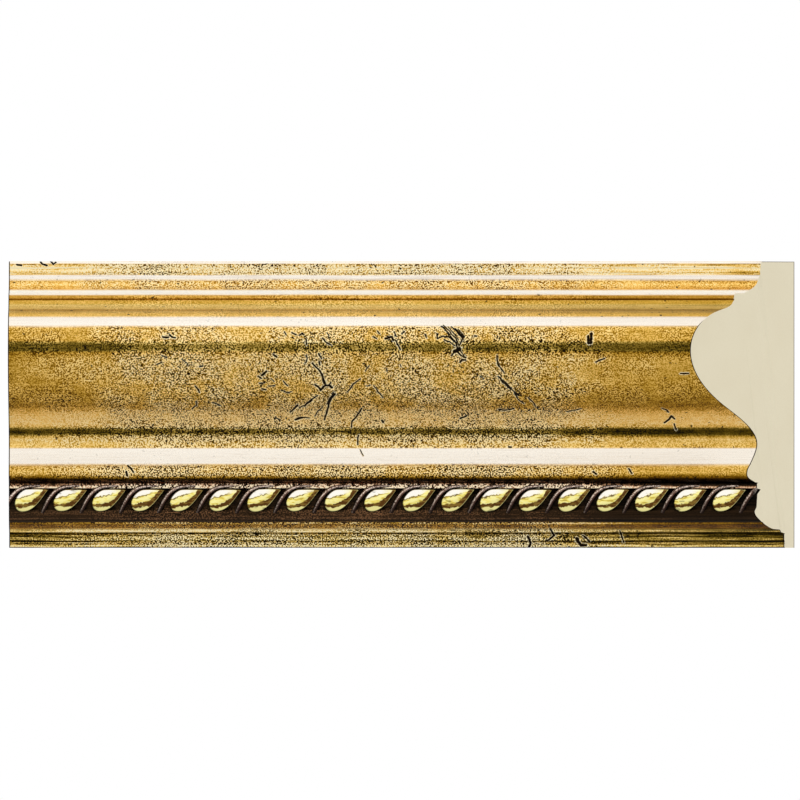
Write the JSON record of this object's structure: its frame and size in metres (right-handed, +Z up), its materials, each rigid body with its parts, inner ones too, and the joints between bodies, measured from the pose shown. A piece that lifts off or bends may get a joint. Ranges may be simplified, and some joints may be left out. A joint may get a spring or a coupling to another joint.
{
  "type": "gilded wall moulding",
  "caption": "Length of gilded wall moulding with a torus, an ogee and a rope ornament, cut square at one end and mitred at the other.",
  "frame": {"origin": "centre of the flat back of the strip, where it meets the wall", "axes": "+X along the strip towards the mitred end, +Y into the wall, +Z up, with the rope ornament at the bottom"},
  "size_m": [0.1646, 0.022, 0.06],
  "materials": {
    "antique_gilt": "antiqued imitation gold leaf, which is brass leaf, over the face and edges, darkened in the hollows; the cut ends and the back show the bare cream core"
  },
  "bodies": {
    "root": {"moulding": "antique_gilt"}
  },
  "joints": []
}
